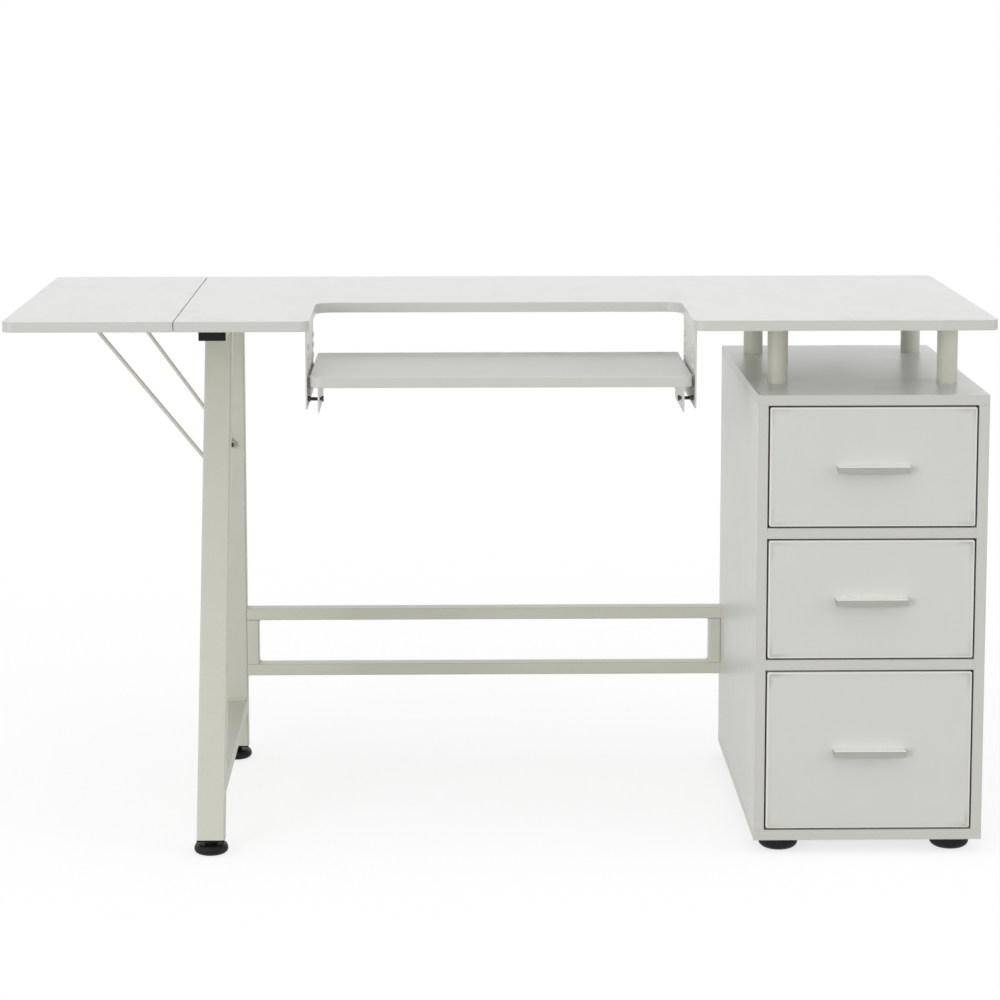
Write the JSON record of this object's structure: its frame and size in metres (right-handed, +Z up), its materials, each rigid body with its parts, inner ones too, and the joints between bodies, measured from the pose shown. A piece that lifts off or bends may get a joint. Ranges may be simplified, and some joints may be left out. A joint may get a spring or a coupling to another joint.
{
  "type": "folding sewing cutting table",
  "caption": "Sewing and cutting table with a notched worktop, a lowered shelf, a drop leaf on swing struts, a tube leg frame and a drawer cabinet on posts.",
  "frame": {"origin": "on the floor below the centre of the worktop, leaf raised", "axes": "+X to the right along the worktop, +Y to the back, +Z up"},
  "size_m": [1.4, 0.6, 0.78],
  "materials": {
    "melamine_board": "white melamine faced chipboard",
    "powder_coated_steel": "cream powder coat",
    "black_plastic": "moulded, soft gloss",
    "zinc_plated_steel": "bright zinc plate",
    "matt_aluminium": "matt silver",
    "hardboard": "white faced hardboard",
    "beech": "turned beech",
    "runner_plastic": "moulded"
  },
  "bodies": {
    "frame": {"main_top": "melamine_board", "cabinet_top": "melamine_board", "cabinet_bottom": "melamine_board", "cabinet_left_side": "melamine_board", "cabinet_right_side": "melamine_board", "upper_divider": "melamine_board", "lower_divider": "melamine_board", "top_rail": "powder_coated_steel", "front_leg": "powder_coated_steel", "rear_leg": "powder_coated_steel", "bottom_rail": "powder_coated_steel", "stretcher_rails": "powder_coated_steel", "stretcher_uprights": "powder_coated_steel", "top_posts": "powder_coated_steel", "left_bracket": "powder_coated_steel", "right_bracket": "powder_coated_steel", "rail_caps": "black_plastic", "leg_plugs": "black_plastic", "cabinet_feet": "black_plastic", "hinge_plates_fixed": "zinc_plated_steel", "hinge_pins": "zinc_plated_steel", "top_screws": "zinc_plated_steel", "strut_studs": "zinc_plated_steel", "stretcher_bolts": "zinc_plated_steel", "post_bolts": "zinc_plated_steel", "shelf_bolts": "zinc_plated_steel", "shelf_nuts": "zinc_plated_steel", "cabinet_back": "hardboard", "cabinet_dowels": "beech", "drawer_runners": "runner_plastic"},
    "leaf": {"drop_leaf": "melamine_board", "hinge_plates_moving": "zinc_plated_steel", "leaf_screws": "zinc_plated_steel", "strut_keepers": "black_plastic"},
    "front_strut": {"front_strut": "powder_coated_steel"},
    "rear_strut": {"rear_strut": "powder_coated_steel"},
    "top_drawer": {"top_drawer_front": "melamine_board", "top_drawer_sides": "melamine_board", "top_drawer_back": "melamine_board", "top_drawer_bottom": "hardboard", "top_drawer_pull": "matt_aluminium", "top_drawer_pull_screws": "zinc_plated_steel"},
    "middle_drawer": {"middle_drawer_front": "melamine_board", "middle_drawer_sides": "melamine_board", "middle_drawer_back": "melamine_board", "middle_drawer_bottom": "hardboard", "middle_drawer_pull": "matt_aluminium", "middle_drawer_pull_screws": "zinc_plated_steel"},
    "bottom_drawer": {"bottom_drawer_front": "melamine_board", "bottom_drawer_sides": "melamine_board", "bottom_drawer_back": "melamine_board", "bottom_drawer_bottom": "hardboard", "bottom_drawer_pull": "matt_aluminium", "bottom_drawer_pull_screws": "zinc_plated_steel"},
    "shelf": {"shelf_board": "melamine_board", "shelf_hangers": "powder_coated_steel", "shelf_screws": "zinc_plated_steel"},
    "front_glide": {"front_glide": "black_plastic"},
    "rear_glide": {"rear_glide": "black_plastic"}
  },
  "joints": [
    {"name": "leaf_fold", "type": "hinge", "parent": "frame", "child": "leaf", "pos_m": [-0.46, 0, 0.7615], "axis": [0, -1, 0], "range_deg": [0, 90]},
    {"name": "front_strut_swing", "type": "hinge", "parent": "frame", "child": "front_strut", "pos_m": [-0.42, -0.03272, 0.517], "axis": [0, -1, 0], "range_deg": [0, 140.9]},
    {"name": "rear_strut_swing", "type": "hinge", "parent": "frame", "child": "rear_strut", "pos_m": [-0.42, 0.2423, 0.517], "axis": [0, -1, 0], "range_deg": [0, 144.1]},
    {"name": "top_drawer_slide", "type": "slide", "parent": "frame", "child": "top_drawer", "axis": [0, -1, 0], "range_m": [0, 0.35]},
    {"name": "middle_drawer_slide", "type": "slide", "parent": "frame", "child": "middle_drawer", "axis": [0, -1, 0], "range_m": [0, 0.35]},
    {"name": "bottom_drawer_slide", "type": "slide", "parent": "frame", "child": "bottom_drawer", "axis": [0, -1, 0], "range_m": [0, 0.35]},
    {"name": "shelf_lift", "type": "slide", "parent": "frame", "child": "shelf", "axis": [0, 0, 1], "range_m": [0, 0.06]},
    {"name": "front_glide_turn", "type": "hinge", "parent": "frame", "child": "front_glide", "pos_m": [-0.42, -0.251, 0.02], "axis": [0, 0, 1], "continuous": true},
    {"name": "rear_glide_turn", "type": "hinge", "parent": "frame", "child": "rear_glide", "pos_m": [-0.42, 0.263, 0.02], "axis": [0, 0, 1], "continuous": true}
  ],
  "couplings": [
    {"joint": "front_strut_swing", "follows": "leaf_fold", "ratio": 1.5644},
    {"joint": "rear_strut_swing", "follows": "leaf_fold", "ratio": 1.6}
  ]
}
